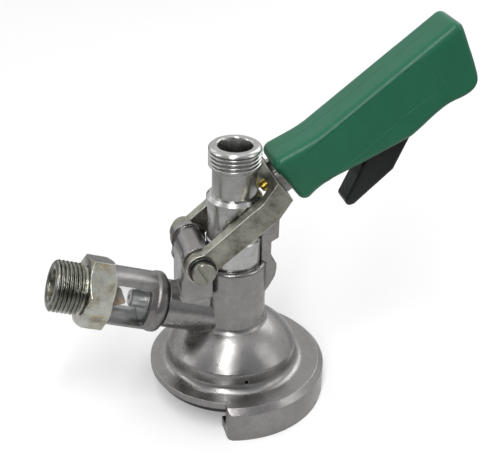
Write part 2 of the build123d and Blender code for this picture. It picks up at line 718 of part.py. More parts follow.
def pivot_washer(side):
    """The washer between an arm and its screw's head."""
    start = BOSS_HALF + SHOULDER_LENGTH - WASHER_THICK
    ring = tube(WASHER_R, SCREW_SHANK_R + RUNNING, start, start + WASHER_THICK)
    return Plane(origin=PIVOT, x_dir=(1, 0, 0), z_dir=(0, side, 0)) * ring


# ---------------------------------------------------------------- handle
def frame_plate(side):
    """One steel side plate, from its tenon in the fork to the far end of the grip."""
    near, far = frame_faces(side)
    solid = lever_block(FORK_HEAD, FRAME_END, near, far, FRAME_LOW, FRAME_TOP)
    solid += lever_block(FORK_HEAD - FORK_PLATE, FORK_HEAD + 1, near, far, TENON_LOW, TENON_TOP)
    ear = [
        (TRIGGER_PIVOT_U - EAR_HALF, FRAME_LOW + 1),
        (TRIGGER_PIVOT_U - EAR_HALF, TRIGGER_PIVOT_V),
        (TRIGGER_PIVOT_U + EAR_HALF, TRIGGER_PIVOT_V),
        (TRIGGER_PIVOT_U + EAR_HALF, FRAME_LOW + 1),
    ]
    solid += slab(ear, near, far, LEVER_SIDE)
    solid += lever_bar(EAR_HALF, near, far, TRIGGER_PIVOT_U, TRIGGER_PIVOT_V)
    return solid - lever_bar(PIN_R + SEAT, near - 1, far + 1, TRIGGER_PIVOT_U, TRIGGER_PIVOT_V)


def handle_frame():
    """Two side plates joined by two webs; the front web guides the rod and backs the spring."""
    solid = frame_plate(-1) + frame_plate(1)
    inner = FRAME_Y - FRAME_THICK / 2 + RIBBON
    for start in (WEB_START, END_WEB_START):
        solid += lever_block(start, start + WEB_THICK, -inner, inner, FRAME_LOW, FRAME_TOP)
    return solid - LEVER_LINE * rod(ROD_R + SLIDING, WEB_START - 1, WEB_START + WEB_THICK + 1)


def latch_bolt():
    """The brass bolt with the collar that its spring pushes on."""
    solid = rod(BOLT_R, BOLT_TIP, COLLAR_START + 1)
    solid = chamfer(circles_at(solid, BOLT_TIP), BOLT_TIP_CHAMFER)
    solid += rod(BOLT_COLLAR_R, COLLAR_START, COLLAR_END)
    return LEVER_LINE * (solid - rod(ROD_R, COLLAR_END - ROD_SPIGOT, COLLAR_END + 1))


def latch_rod():
    """The steel rod from the bolt to the yoke that the trigger's horn draws back."""
    solid = LEVER_LINE * rod(ROD_R, COLLAR_END - ROD_SPIGOT, YOKE_START + 1)
    yoke = lever_block(
        YOKE_START, YOKE_START + YOKE_LENGTH, -YOKE_HALF, YOKE_HALF, YOKE_LOW, YOKE_TOP
    )
    yoke -= lever_block(
        TRIGGER_PIVOT_U - HORN_ROOM_R,
        TRIGGER_PIVOT_U + HORN_ROOM_R,
        -YOKE_MOUTH_HALF,
        YOKE_MOUTH_HALF,
        YOKE_LOW - 1,
        YOKE_TOP - YOKE_ROOF,
    )
    return solid + yoke


def latch_spring():
    """The coil spring between the bolt's collar and the front web."""
    length = WEB_START - COLLAR_END - 2 * SPRING_WIRE_R
    path = Helix(pitch=length / SPRING_TURNS, height=length, radius=SPRING_R)
    section = Plane(origin=path @ 0, z_dir=path % 0) * Circle(SPRING_WIRE_R)
    coil = sweep(section, path=path)
    return LEVER_LINE * Pos(0, 0, COLLAR_END + SPRING_WIRE_R) * coil


def grip_outline():
    """The side outline of the grip: flared front, hollowed back, a finger notch and a heel."""
    top = Spline(GRIP_FLARE, tangents=[(1, 0.05), (1, -0.02)])
    ridge = Line(GRIP_FLARE[-1], GRIP_BACK[0])
    end = Spline(GRIP_BACK, tangents=[(-0.02, -1), (-0.3, -1)])
    heel = Spline(GRIP_HEEL, tangents=[(-0.3, -1), (-1, 0.06)])
    notch = Spline(GRIP_NOTCH, tangents=[(-1, 0.06), (-1, -0.02)])
    belly = Spline(GRIP_BELLY, tangents=[(-1, 0.2), (-1, -0.7)])
    front = Line(GRIP_BELLY[-1], GRIP_FLARE[0])
    return make_face([top, ridge, end, heel, notch, belly, front])


def grip():
    """The moulded grip: an outer shape hollowed for the frame, the rod and the trigger."""
    solid = extrude(LEVER_SIDE * grip_outline(), GRIP_HALF, both=True)
    solid = fillet(solid.edges(), GRIP_ROUND)
    half = FRAME_Y + FRAME_THICK / 2 + SEAT
    solid -= lever_block(GRIP_FRONT - 1, FRAME_END + CAVITY_SPARE, -half, half, FRAME_LOW - SEAT, FRAME_TOP + SEAT)
    slot = lever_block(
        TRIGGER_SLOT_START, TRIGGER_SLOT_END, -TRIGGER_SLOT_HALF, TRIGGER_SLOT_HALF, -DEEP, FRAME_LOW
    )
    ears = lever_block(
        TRIGGER_PIVOT_U - EAR_HALF - SEAT,
        TRIGGER_PIVOT_U + EAR_HALF + SEAT,
        -half,
        half,
        TRIGGER_PIVOT_V - EAR_HALF - SEAT,
        FRAME_LOW,
    )
    return solid - slot - ears


def trigger():
    """The curved finger trigger, with the eye of its pin and the horn that draws the rod."""
    solid = slab(TRIGGER_OUTLINE, -TRIGGER_HALF, TRIGGER_HALF, LEVER_SIDE)
    solid = fillet(solid.edges().filter_by(Axis.Y), TRIGGER_CORNER_R)
    rim = solid.faces().sort_by(Axis.Y)
    solid = fillet(rim[0].edges() + rim[-1].edges(), TRIGGER_ROUND)
    solid += lever_bar(TRIGGER_EYE_R, -TRIGGER_HALF, TRIGGER_HALF, TRIGGER_PIVOT_U, TRIGGER_PIVOT_V)
    horn = TRIGGER_HORN_WIDTH / 2
    tip = BOLT_LINE
    stalk = lever_block(
        TRIGGER_PIVOT_U - STALK_HALF, TRIGGER_PIVOT_U + STALK_HALF, -horn, horn, TRIGGER_PIVOT_V, tip
    )
    solid += stalk + lever_bar(TRIGGER_HORN_R, -horn, horn, TRIGGER_PIVOT_U, tip)
    return solid - lever_bar(PIN_R + RUNNING, -DEEP, DEEP, TRIGGER_PIVOT_U, TRIGGER_PIVOT_V)


def trigger_pin():
    """The cross pin that the trigger turns on, held in the two frame plates."""
    half = FRAME_Y + FRAME_THICK / 2
    return lever_bar(PIN_R, -half, half, TRIGGER_PIVOT_U, TRIGGER_PIVOT_V)


# ---------------------------------------------------------------- every sub-part
lower_ring, upper_ring = oring_centres()
save("body_casting", body_casting())
save("keg_seal", keg_seal())
save("cage_seal", cage_seal())
save("sight_cage", sight_cage())
save("flow_nozzle", flow_nozzle())
save("sight_tube", sight_tube())
save("tube_seal_inner", tube_seal(FLOOR))
save("tube_seal_outer", tube_seal(TUBE_END))
save("inlet_nipple", inlet_nipple())
save("lip_valve", lip_valve())
save("valve_clip", valve_clip())
save("probe_tube", probe_tube())
save("piston_seal_lower", piston_seal(lower_ring))
save("piston_seal_upper", piston_seal(upper_ring))
save("probe_seal", probe_seal())
save("check_ball", check_ball())
save("ball_clip", ball_clip())
save("fork_lever", fork_lever())
for name, side in (("near", -1), ("far", 1)):
    save(f"pivot_screw_{name}", pivot_screw(side))
    save(f"pivot_washer_{name}", pivot_washer(side))
save("handle_frame", handle_frame())
save("latch_bolt", latch_bolt())
save("latch_rod", latch_rod())
save("latch_spring", latch_spring())
save("grip", grip())
save("trigger", trigger())
save("trigger_pin", trigger_pin())
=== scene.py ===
# %% [markdown]
# # A keg coupler, dressed for its portrait
# The solids of this keg coupler come from CAD: a cast body, a probe, a lever, a grip and the small
# parts inside. This lesson loads them as they are, adds the fine forms that only a mesh can carry
# well, such as rolled threads and moulding lines, and gives each metal, rubber and plastic a finish
# of its own. We start with the tools and keep the size of the CAD model.

import math

import bmesh
import bpy
import numpy as np
from mathutils import Matrix, Vector
from mathutils.bvhtree import BVHTree


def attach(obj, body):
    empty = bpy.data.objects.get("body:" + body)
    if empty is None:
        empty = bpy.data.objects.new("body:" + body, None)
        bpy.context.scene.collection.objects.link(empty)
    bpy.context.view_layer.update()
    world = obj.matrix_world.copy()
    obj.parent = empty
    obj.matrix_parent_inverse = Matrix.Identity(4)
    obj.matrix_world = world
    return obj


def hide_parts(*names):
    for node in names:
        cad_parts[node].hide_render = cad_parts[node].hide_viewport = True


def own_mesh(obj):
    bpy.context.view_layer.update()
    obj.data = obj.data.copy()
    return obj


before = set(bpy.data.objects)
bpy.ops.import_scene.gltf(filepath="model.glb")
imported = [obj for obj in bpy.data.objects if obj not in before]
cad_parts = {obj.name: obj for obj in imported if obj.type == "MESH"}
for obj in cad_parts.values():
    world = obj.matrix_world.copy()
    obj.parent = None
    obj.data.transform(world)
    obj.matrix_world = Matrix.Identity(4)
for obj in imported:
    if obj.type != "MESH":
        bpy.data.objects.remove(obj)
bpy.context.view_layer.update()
MM = 0.001

# %% [markdown]
# ## Where things are
# The lever has its own slanted frame: u runs along it from the pivot, v stands square to u in the
# side view, and y points sideways. A small function turns such a place into a point of the model,
# in metres. The gas arm is simpler: a place on its axis is its foot plus a distance along it.

# %% The lever's and the gas arm's own frames
PIVOT = np.array([-18.2, 0.0, 75.0])
LEVER_ANGLE = math.radians(38.6)
ALONG_LEVER = np.array([math.cos(LEVER_ANGLE), 0.0, math.sin(LEVER_ANGLE)])
OFF_LEVER = np.array([-math.sin(LEVER_ANGLE), 0.0, math.cos(LEVER_ANGLE)])
ARM_ANGLE = math.radians(18.8)
ALONG_ARM = np.array([-math.cos(ARM_ANGLE), 0.0, math.sin(ARM_ANGLE)])
ARM_FOOT = np.array([0.0, 0.0, 38.5])
LEFT = np.array([0.0, 1.0, 0.0])
UP = np.array([0.0, 0.0, 1.0])


def on_lever(u, v, y):
    """Points of the lever in metres: pivot + u along it + v off it + y sideways."""
    u, v, y = np.broadcast_arrays(u, v, y)
    along, off = u[..., None] * ALONG_LEVER, v[..., None] * OFF_LEVER
    return (PIVOT + along + off + y[..., None] * LEFT) * MM


# %% [markdown]
# ## The camera
# The camera looks slightly down on the coupler, with the gas arm to the left and the grip to the
# right. It is turned a little about its own axis, so its right-hand direction is built by hand and
# not with a Track To constraint, which would always keep it level.

# %% Camera
AZIMUTH, ELEVATION, ROLL = map(math.radians, (-16.5, 29.7, 1.68))
TARGET = Vector((6.87, -2.04, 82.72)) * MM
DISTANCE = 440.79 * MM
LENS = 72.4


def direction_to(azimuth, elevation):
    """The unit vector from the target to a place seen at these angles; azimuth 0 is in front."""
    flat = math.cos(elevation)
    return Vector((math.sin(azimuth) * flat, -math.cos(azimuth) * flat, math.sin(elevation)))


back = direction_to(AZIMUTH, ELEVATION)
level_right = Vector((math.cos(AZIMUTH), math.sin(AZIMUTH), 0))
level_up = back.cross(level_right)
right = level_right * math.cos(ROLL) + level_up * math.sin(ROLL)
up = back.cross(right)
turned_to_target = Matrix((right, up, back)).transposed().to_4x4()
camera_data = bpy.data.cameras.new("camera")
camera_data.lens = LENS
camera_data.clip_start, camera_data.clip_end = 0.01, 20
camera = bpy.data.objects.new("camera", camera_data)
bpy.context.scene.collection.objects.link(camera)
camera.matrix_world = Matrix.Translation(TARGET + back * DISTANCE) @ turned_to_target
bpy.context.scene.camera = camera
print("camera at", tuple(round(c, 4) for c in camera.matrix_world.translation))

# %% [markdown]
# ## Meshes from arrays
# Every new piece is a grid: a function of two parameters gives a point for each grid corner, and
# neighbouring corners make four-sided faces. Both directions may close on themselves, as on a ring.
# Where the rows do not close, each end may get a cap made of one many-sided face, or the points
# themselves may shrink to one there, and merging them closes the end.

# %% A grid of points becomes a mesh
SAME_POINT = 1e-7  # metres; grid points closer than this become one


def full_turn(count):
    """Angles of count points spread evenly round a circle."""
    return np.linspace(0, 2 * math.pi, count, endpoint=False)


def grid_faces(rows, columns, rows_close, columns_close):
    """Corner numbers of each face of a rows x columns grid, worked out as whole arrays."""
    i, j = np.meshgrid(
        np.arange(rows if rows_close else rows - 1),
        np.arange(columns if columns_close else columns - 1),
        indexing="ij",
    )
    a, b = i * columns, ((i + 1) % rows) * columns
    c, d = j, (j + 1) % columns
    return np.stack([a + c, a + d, b + d, b + c], -1).reshape(-1, 4)


def as_object(name, mesh, sharp_deg):
    """An object for the mesh, smooth except along edges sharper than sharp_deg."""
    mesh.shade_smooth()
    mesh.set_sharp_from_angle(angle=math.radians(sharp_deg))
    piece = bpy.data.objects.new(name, mesh)
    bpy.context.scene.collection.objects.link(piece)
    print(name, "has", len(mesh.polygons), "faces")
    return piece


def surface(name, points, rows_close=False, columns_close=True, caps=False, sharp_deg=35):
    """An object from an array of points (rows, columns, 3) in metres; faces are turned outwards."""
    rows, columns = points.shape[:2]
    faces = grid_faces(rows, columns, rows_close, columns_close).tolist()
    if caps:
        faces += [list(range(columns)), list(range((rows - 1) * columns, rows * columns))]
    mesh = bpy.data.meshes.new(name)
    mesh.from_pydata(points.reshape(-1, 3).tolist(), [], faces)
    work = bmesh.new()
    work.from_mesh(mesh)
    bmesh.ops.remove_doubles(work, verts=work.verts, dist=SAME_POINT)
    bmesh.ops.recalc_face_normals(work, faces=work.faces)
    work.to_mesh(mesh)
    work.free()
    return as_object(name, mesh, sharp_deg)


# %% [markdown]
# ## Cutting a solid to make room for a thread
# In CAD the two male threads are plain cylinders. To give them real flanks, the cylinder has to go:
# a copy of the solid is merged, cut across its axis just behind the thread, and closed there. The
# threaded end then starts on that cut.

# %% A copy of a solid, cut across an axis
SAME_CORNER = 2e-7  # metres; corners of a solid's mesh closer than this become one
ON_CUT = 1e-8  # metres; corners this near the cutting plane count as lying on it


def cut_copy(node, name, point_mm, axis):
    """A copy of the CAD node without what lies past the plane through point_mm square to axis."""
    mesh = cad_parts[node].data.copy()
    mesh.name = name
    # the normals that came with the solid do not fit its merged corners, so the copy shades by its
    # own edges
    mesh.attributes.remove(mesh.attributes["custom_normal"])
    work = bmesh.new()
    work.from_mesh(mesh)
    bmesh.ops.remove_doubles(work, verts=work.verts, dist=SAME_CORNER)
    cut = bmesh.ops.bisect_plane(
        work,
        geom=work.verts[:] + work.edges[:] + work.faces[:],
        dist=ON_CUT,
        plane_co=Vector(point_mm) * MM,
        plane_no=Vector(axis),
        clear_outer=True,
    )
    rim = [e for e in cut["geom_cut"] if isinstance(e, bmesh.types.BMEdge)]
    bmesh.ops.triangle_fill(work, edges=rim, use_beauty=True, normal=Vector(axis))
    bmesh.ops.recalc_face_normals(work, faces=work.faces)
    work.to_mesh(mesh)
    work.free()
    mesh.materials.clear()
    return as_object(name, mesh, sharp_deg=32)


# %% [markdown]
# ## The pipe threads
# Both unions use the same pipe thread: a rounded 55 degree vee with a pitch of 1.814 mm, 1.16 mm
# deep. A thread is a lathe shape whose radius also depends on the angle: the phase, height over
# pitch minus angle over a full turn, says where on the vee a point lies. The vee is then kept
# inside the plain outline, so the lead-in chamfer comes for free.

# %% A threaded end with its bore
PITCH = 1.814
THREAD_DEPTH = 1.162
THREAD_CREST = 11.455
VEE_FLAT = 0.12  # share of the wave's height that is cut flat at the crest, and again at the root
VEE_ROUND = 0.45  # share of the flank that is a smooth step; the rest of it is straight
OUTER_WALL = 9.9  # mm; an outline point further out than this may carry the thread
PLAIN_WALL = 0.5  # mm; an outer stretch shorter than this keeps only its two ends
ROW_STEP = 0.09  # mm of height between the grid rows of an outer stretch
RUN_OUT = 0.3  # mm over which the vee fades at its far end; at its near end it takes one pitch
THREAD_CORNERS = 240  # grid corners round a thread


def vee(phase):
    """Depth of a rounded vee, 0 on the crest and 1 in the root: a triangle wave w, cut flat at both
    ends, then VEE_ROUND * w^2 (3 - 2 w) + (1 - VEE_ROUND) * w."""
    wave = 1 - np.abs(2 * (phase % 1.0) - 1)
    wave = np.clip((wave - VEE_FLAT) / (1 - 2 * VEE_FLAT), 0, 1)
    return wave * wave * (3 - 2 * wave) * VEE_ROUND + wave * (1 - VEE_ROUND)


def threaded_end(name, origin, axis, side, outline, thread_from, thread_to):
    """A closed ring of outline points (radius, height) turned about the axis, with the vee cut into
    its outside from thread_from to thread_to: radius = min(outline, crest - depth * vee)."""
    outline = np.array(outline, float)
    steps = np.concatenate([[0], np.cumsum(np.hypot(*np.diff(outline, axis=0).T))])
    where = [steps]
    for k in range(len(outline) - 1):
        (r0, h0), (r1, h1) = outline[k], outline[k + 1]
        rise = abs(h1 - h0)
        if min(r0, r1) > OUTER_WALL and rise > PLAIN_WALL:
            where.append(np.linspace(steps[k], steps[k + 1], int(rise / ROW_STEP)))
    where = np.unique(np.concatenate(where))
    radius = np.interp(where, steps, outline[:, 0])[:, None]
    height = np.interp(where, steps, outline[:, 1])[:, None]
    angle = full_turn(THREAD_CORNERS)[None, :]
    fade_in = np.clip((height - thread_from) / PITCH, 0, 1)
    fade_out = np.clip((thread_to - height) / RUN_OUT + 1, 0, 1)
    depth = THREAD_DEPTH * vee(height / PITCH - angle / (2 * math.pi)) * (fade_in * fade_out)
    cut = np.minimum(radius, THREAD_CREST - depth)
    radius = np.where(radius > OUTER_WALL, cut, radius + 0 * angle)
    other = np.cross(axis, side)
    around = np.cos(angle)[..., None] * side + np.sin(angle)[..., None] * other
    turned = origin + height[..., None] * axis + radius[..., None] * around
    return surface(name, turned * MM, rows_close=True, sharp_deg=50)


# %% The beer line's thread on top of the probe
PROBE_TOP = 123.8
PROBE_CUT = 113.4
PROBE_BORE = 7.45
PROBE_NECK = 9.75
probe_shaft = cut_copy("probe_tube", "probe_shaft", (0, 0, PROBE_CUT), (0, 0, 1))
beer_thread = threaded_end(
    "beer_thread",
    np.zeros(3),
    UP,
    np.array([1.0, 0.0, 0.0]),
    [
        (PROBE_BORE, PROBE_CUT),
        (PROBE_NECK, PROBE_CUT),
        (PROBE_NECK, 113.7),
        (THREAD_CREST, 114.9),
        (THREAD_CREST, 122.3),
        (11.1, 122.9),
        (10.5, 123.45),
        (9.95, 123.72),
        (9.6, PROBE_TOP),
        (8.3, PROBE_TOP),
        (7.9, 123.68),
        (7.6, 123.35),
        (PROBE_BORE, 122.9),
    ],
    thread_from=114.6,
    thread_to=121.9,
)

# %% The gas line's thread on the hexagon
ARM_END = 85.0
ARM_CUT = 72.3
ARM_BORE = 6.7
ARM_NECK = 10.2
hexagon = cut_copy("inlet_nipple", "hexagon", ARM_FOOT + ARM_CUT * ALONG_ARM, ALONG_ARM)
gas_thread = threaded_end(
    "gas_thread",
    ARM_FOOT,
    ALONG_ARM,
    LEFT,
    [
        (ARM_BORE, ARM_CUT),
        (ARM_NECK, ARM_CUT),
        (ARM_NECK, 72.7),
        (10.6, 72.9),
        (THREAD_CREST, 73.3),
        (THREAD_CREST, 83.9),
        (10.4, 84.85),
        (10.1, ARM_END),
        (7.6, ARM_END),
        (7.0, 84.6),
        (ARM_BORE, 84.0),
    ],
    thread_from=72.9,
    thread_to=84.0,
)

for piece, node, body in (
    (probe_shaft, "probe_tube", "probe"),
    (beer_thread, "probe_tube", "probe"),
    (hexagon, "inlet_nipple", "body"),
    (gas_thread, "inlet_nipple", "body"),
):
    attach(piece, body)
    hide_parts(node)

# %% [markdown]
# ## Moulding lines on the grip
# An injection mould leaves fine lines: the edge of an insert on each side of the grip, a line where
# the mould's halves meet along its back, and a short flow mark near the heel. They are hair-thin
# beads, half sunk in the surface, made by carrying a small oval along a path. The bead on the back
# lies on the grip itself, on points found by casting rays down onto it.

# %% A thin bead along a path
WIRE_CORNERS = 10  # corners of the small circle that beads and the spring's wire are made of
BEAD_TAPER = 12  # an open bead narrows over one twelfth of its length at each end


def bead(name, path, out, half_width, height, closed):
    """A small oval carried along the path: point + cos(a) * half_width * across + sin(a) * height *
    out, where across is the path's direction crossed with out. An open bead ends in two points."""
    path = np.asarray(path, float)
    out = np.broadcast_to(out, path.shape)
    if closed:
        along = np.roll(path, -1, 0) - np.roll(path, 1, 0)
        fade = np.ones(len(path))
    else:
        along = np.gradient(path, axis=0)
        t = np.linspace(0, 1, len(path))
        fade = np.clip(np.minimum(t, 1 - t) * BEAD_TAPER, 0.0, 1) ** 0.5
    across = np.cross(along, out)
    across /= np.linalg.norm(across, axis=1, keepdims=True)
    angle = full_turn(WIRE_CORNERS)
    ring = (
        path[:, None]
        + (fade[:, None] * np.cos(angle) * half_width * MM)[..., None] * across[:, None]
        + (fade[:, None] * np.sin(angle) * height * MM)[..., None] * out[:, None]
    )
    piece = surface(name, ring, rows_close=closed, sharp_deg=80)
    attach(piece, "lever")
    return piece


def rounded(corners, radius, steps=7):
    """A closed outline with each corner replaced by a quadratic curve that starts and ends radius
    away from it: (1-t)^2 * first + 2t(1-t) * corner + t^2 * last."""
    corners = np.array(corners, float)
    before, after = np.roll(corners, 1, 0) - corners, np.roll(corners, -1, 0) - corners
    first = corners + before / np.linalg.norm(before, axis=1, keepdims=True) * radius
    last = corners + after / np.linalg.norm(after, axis=1, keepdims=True) * radius
    t = np.linspace(0, 1, steps)[None, :, None]
    bent = (1 - t) ** 2 * first[:, None] + 2 * t * (1 - t) * corners[:, None] + t**2 * last[:, None]
    return bent.reshape(-1, 2)


# %% The insert's edge, the parting line and the flow mark
GRIP_HALF = 10.5
INSERT_CORNER = 3.2
PARTING_FROM, PARTING_TO, PARTING_SIDE = 56, 142, 1.2
ABOVE_GRIP = 40.0  # where the rays start, well off the lever's line
INSERT_BEAD, FLOW_BEAD, PARTING_BEAD = (0.22, 0.07), (0.3, 0.13), (0.16, 0.06)  # half width, height
insert_edge = rounded(
    [(62.7, 8.2), (62.3, -10.0), (84, -10.3), (109, -9.3), (125.6, -10.6), (125.9, 7.9)],
    INSERT_CORNER,
)
flow_mark = np.array(
    [(128.7, 2.6), (128.3, -1.8), (127.7, -5.6), (128.1, -8.4), (127.6, -11.6), (127.2, -14.4)]
)
mark_steps = np.arange(len(flow_mark))
fine = np.linspace(0, mark_steps[-1], 41)
flow_path = np.stack([np.interp(fine, mark_steps, flow_mark[:, k]) for k in (0, 1)], 1)
grip_lines = []
for side in (-1, 1):
    edge = on_lever(insert_edge[:, 0], insert_edge[:, 1], side * GRIP_HALF)
    mark = on_lever(flow_path[:, 0], flow_path[:, 1], side * GRIP_HALF)
    tag = "near" if side < 0 else "far"
    grip_lines.append(bead(f"insert_edge_{tag}", edge, side * LEFT, *INSERT_BEAD, closed=True))
    grip_lines.append(bead(f"flow_mark_{tag}", mark, side * LEFT, *FLOW_BEAD, closed=False))

grip_tree = BVHTree.FromObject(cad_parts["grip"], bpy.context.evaluated_depsgraph_get())
parting = []
for above in on_lever(np.linspace(PARTING_FROM, PARTING_TO, 60), ABOVE_GRIP, PARTING_SIDE):
    hit = grip_tree.ray_cast(Vector(above), Vector(-OFF_LEVER))[0]
    parting.append(hit[:])
grip_lines.append(bead("parting_line", parting, OFF_LEVER, *PARTING_BEAD, closed=False))

# %% [markdown]
# ## The latch spring as a coil
# The latch's coil spring sits between the bolt's collar and a web of the frame. When the bolt is
# drawn back the coil gets shorter, which a stiff solid can't do. The solid is replaced by a coil of
# the same length: a small circle carried along a helix.

# %% The latch spring
SPRING_START, SPRING_END = 54.2, 66.0  # along the lever, from the collar to the web
SPRING_RADIUS, SPRING_WIRE, SPRING_TURNS = 3.6, 0.5, 5
STEPS_PER_TURN = 32
BOLT_LINE = 2.2  # the bolt's axis lies this far off the lever's line
turn = np.linspace(0, 2 * math.pi * SPRING_TURNS, STEPS_PER_TURN * SPRING_TURNS + 1)
centre = np.linspace(SPRING_START + SPRING_WIRE, SPRING_END - SPRING_WIRE, len(turn))
round_wire = full_turn(WIRE_CORNERS)
radial = SPRING_RADIUS + SPRING_WIRE * np.cos(round_wire)[None]
coil_points = on_lever(
    centre[:, None] + SPRING_WIRE * np.sin(round_wire)[None],
    BOLT_LINE + radial * np.cos(turn)[:, None],
    radial * np.sin(turn)[:, None],
)
spring = surface("latch_coil", coil_points, caps=True, sharp_deg=80)
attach(spring, "lever")
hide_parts("latch_spring")
tuple(on_lever(np.array(SPRING_END), np.array(BOLT_LINE), np.array(0.0)).ravel())
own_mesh(spring)
print("spring turns:", SPRING_TURNS)

# %% [markdown]
# ## Tools for finishes
# A finish is a node tree. One function turns a hex colour, which is written in sRGB as on a screen,
# into the linear values that light is worked out with. One function adds a node with its settings
# and links, and a few short ones add the nodes that every finish uses. A pattern's scale is written
# as the size of one feature in millimetres, because the coordinates are metres.


# %% Colour, node and scale helpers
def linear(code):
    """Linear RGBA of an sRGB hex colour: c/12.92 below 0.04045, else ((c + 0.055)/1.055)^2.4."""
    c = np.array([int(code[k : k + 2], 16) for k in (1, 3, 5)]) / 255
    c = np.where(c <= 0.04045, c / 12.92, ((c + 0.055) / 1.055) ** 2.4)
    return (*c.tolist(), 1.0)


def add(tree, kind, inputs=None, **settings):
    """One node of that kind; a socket given as an input is linked, and any other value is set."""
    made = tree.nodes.new(kind)
    for key, value in settings.items():
        setattr(made, key, value)
    for key, value in (inputs or {}).items():
        if isinstance(value, bpy.types.NodeSocket):
            tree.links.new(value, made.inputs[key])
        else:
            made.inputs[key].default_value = value
    return made


def per_mm(size):
    """The texture scale that makes one feature this many millimetres across."""
    return 1 / (size * MM)


def ramp(tree, factor, stops):
    """A colour ramp with (position, hex colour) stops, driven by factor."""
    made = add(tree, "ShaderNodeValToRGB", {"Fac": factor})
    while len(made.color_ramp.elements) < len(stops):
        made.color_ramp.elements.new(0.5)
    for element, (place, code) in zip(made.color_ramp.elements, stops):
        element.position, element.color = place, linear(code)
    return made.outputs["Color"]


def noise(tree, place, scale, detail, roughness=0.5, distortion=0.0):
    """A cloudy value around 0.5, with features of the size that scale gives."""
    inputs = {"Vector": place, "Scale": scale, "Detail": detail}
    inputs |= {"Roughness": roughness, "Distortion": distortion}
    return add(tree, "ShaderNodeTexNoise", inputs).outputs["Fac"]


def remap(tree, value, given, wanted):
    """The value carried from the range given to the range wanted, and kept inside it."""
    inputs = {"Value": value, "From Min": given[0], "From Max": given[1]}
    inputs |= {"To Min": wanted[0], "To Max": wanted[1]}
    return add(tree, "ShaderNodeMapRange", inputs).outputs["Result"]


def maths(tree, operation, first, second):
    """One sum on two values."""
    return add(tree, "ShaderNodeMath", {0: first, 1: second}, operation=operation).outputs["Value"]


def blend(tree, factor, first, second, data_type="RGBA"):
    """first where factor is 0, second where it is 1: colours, or values with data_type FLOAT."""
    inputs = {"Factor": factor, "A": first, "B": second}
    return add(tree, "ShaderNodeMix", inputs, data_type=data_type).outputs["Result"]


def mapped(tree, place, **how):
    """The coordinates moved, turned or stretched by Location, Rotation or Scale."""
    return add(tree, "ShaderNodeMapping", {"Vector": place, **how}).outputs["Vector"]


def start(name):
    """A new material with its shader and output, and object coordinates in metres."""
    material = bpy.data.materials.new(name)
    material.use_nodes = True
    tree = material.node_tree
    tree.nodes.clear()
    shader = add(tree, "ShaderNodeBsdfPrincipled")
    add(tree, "ShaderNodeOutputMaterial", {"Surface": shader.outputs["BSDF"]})
    place = add(tree, "ShaderNodeTexCoord").outputs["Object"]
    return material, tree, shader, place


def drive(tree, shader, **sources):
    """Link sockets to the shader: Base_Color, Roughness or Normal."""
    for key, source in sources.items():
        tree.links.new(source, shader.inputs[key.replace("_", " ")])


# %% [markdown]
# ## Rounded edges without more faces
# The CAD edges are sharp where the real part has a small broken edge that catches the light. The
# Bevel node rounds only the shading normal near an edge. Comparing it with the true normal also
# tells where the edges are, and there the finishes are painted paler: partly rubbed plating and
# casting skin, partly a painted highlight.


# %% Edge rounding and an edge mask
def edges(tree, radius_mm):
    """(rounded normal, mask): the mask is 1 where the rounded normal leaves the true one."""
    soft = add(tree, "ShaderNodeBevel", {"Radius": radius_mm * MM}, samples=6).outputs["Normal"]
    true = add(tree, "ShaderNodeNewGeometry").outputs["Normal"]
    match = add(tree, "ShaderNodeVectorMath", {0: soft, 1: true}, operation="DOT_PRODUCT")
    return soft, remap(tree, match.outputs["Value"], (0.995, 0.86), (0.0, 1.0))


def bump(tree, height, distance_mm, strength, normal):
    """A bump on top of a normal: height 0..1 stands for distance_mm."""
    inputs = {"Height": height, "Distance": distance_mm * MM}
    inputs |= {"Strength": strength, "Normal": normal}
    return add(tree, "ShaderNodeBump", inputs).outputs["Normal"]


# %% [markdown]
# ## Cast stainless steel
# The body and the sight cage are investment castings in stainless steel, blasted with fine shot and
# left as they are. The skin is a satin grey: it scatters light over a wide lobe, with a fine sandy
# grain of about 0.5 mm, a soft waviness of several millimetres from the wax pattern, and darker,
# duller patches where hands and beer have been. Edges are painted a little brighter, partly as
# rubbed wear and partly as a painted highlight.


# %% Investment-cast stainless steel
def cast_steel(name, pale, mid, dull, rough):
    """Satin cast metal: base colour from two sizes of cloud, bump from grain and waviness."""
    material, tree, shader, place = start(name)
    soft, mask = edges(tree, 0.45)
    cloud = noise(tree, place, per_mm(14), 5.0, 0.62)
    blotch = noise(tree, place, per_mm(3.2), 4.0, 0.7)
    both = blend(tree, 0.42, cloud, blotch, data_type="FLOAT")
    colour = ramp(tree, both, [(0.36, dull), (0.5, mid), (0.64, pale)])
    # painted shade of tiny pits in the casting skin: the dark cells of a fine cell pattern, few and
    # small
    cells = add(
        tree, "ShaderNodeTexVoronoi", {"Vector": place, "Scale": per_mm(4.5), "Randomness": 1.0}
    )
    pit_shade = remap(tree, cells.outputs["Distance"], (0.05, 0.09), (0.0, 1.0))
    pit_shade = maths(tree, "MAXIMUM", pit_shade, maths(tree, "LESS_THAN", cloud, 0.54))
    with_pit_shade = blend(tree, pit_shade, linear("#4b4a48"), colour)
    # edges painted paler: partly rubbed wear, partly a painted highlight along them
    rubbed_edges_and_highlight = blend(tree, maths(tree, "MULTIPLY", mask, 0.45), with_pit_shade, linear("#b4b3b0"))
    spread = remap(tree, both, (0.35, 0.65), (rough + 0.07, rough - 0.05))
    sand = noise(tree, place, per_mm(0.55), 3.0, 0.65)
    wave = noise(tree, place, per_mm(7.0), 1.0)
    normal = bump(tree, sand, 0.05, 0.55, bump(tree, wave, 0.35, 0.35, soft))
    drive(tree, shader, Base_Color=rubbed_edges_and_highlight, Roughness=spread, Normal=normal)
    shader.inputs["Metallic"].default_value = 1.0
    return material


CAST = cast_steel("cast_stainless_steel", "#9b9997", "#939190", "#8a8886", 0.28)
CAGE = cast_steel("cast_stainless_steel_polished", "#929190", "#888685", "#7a7876", 0.32)
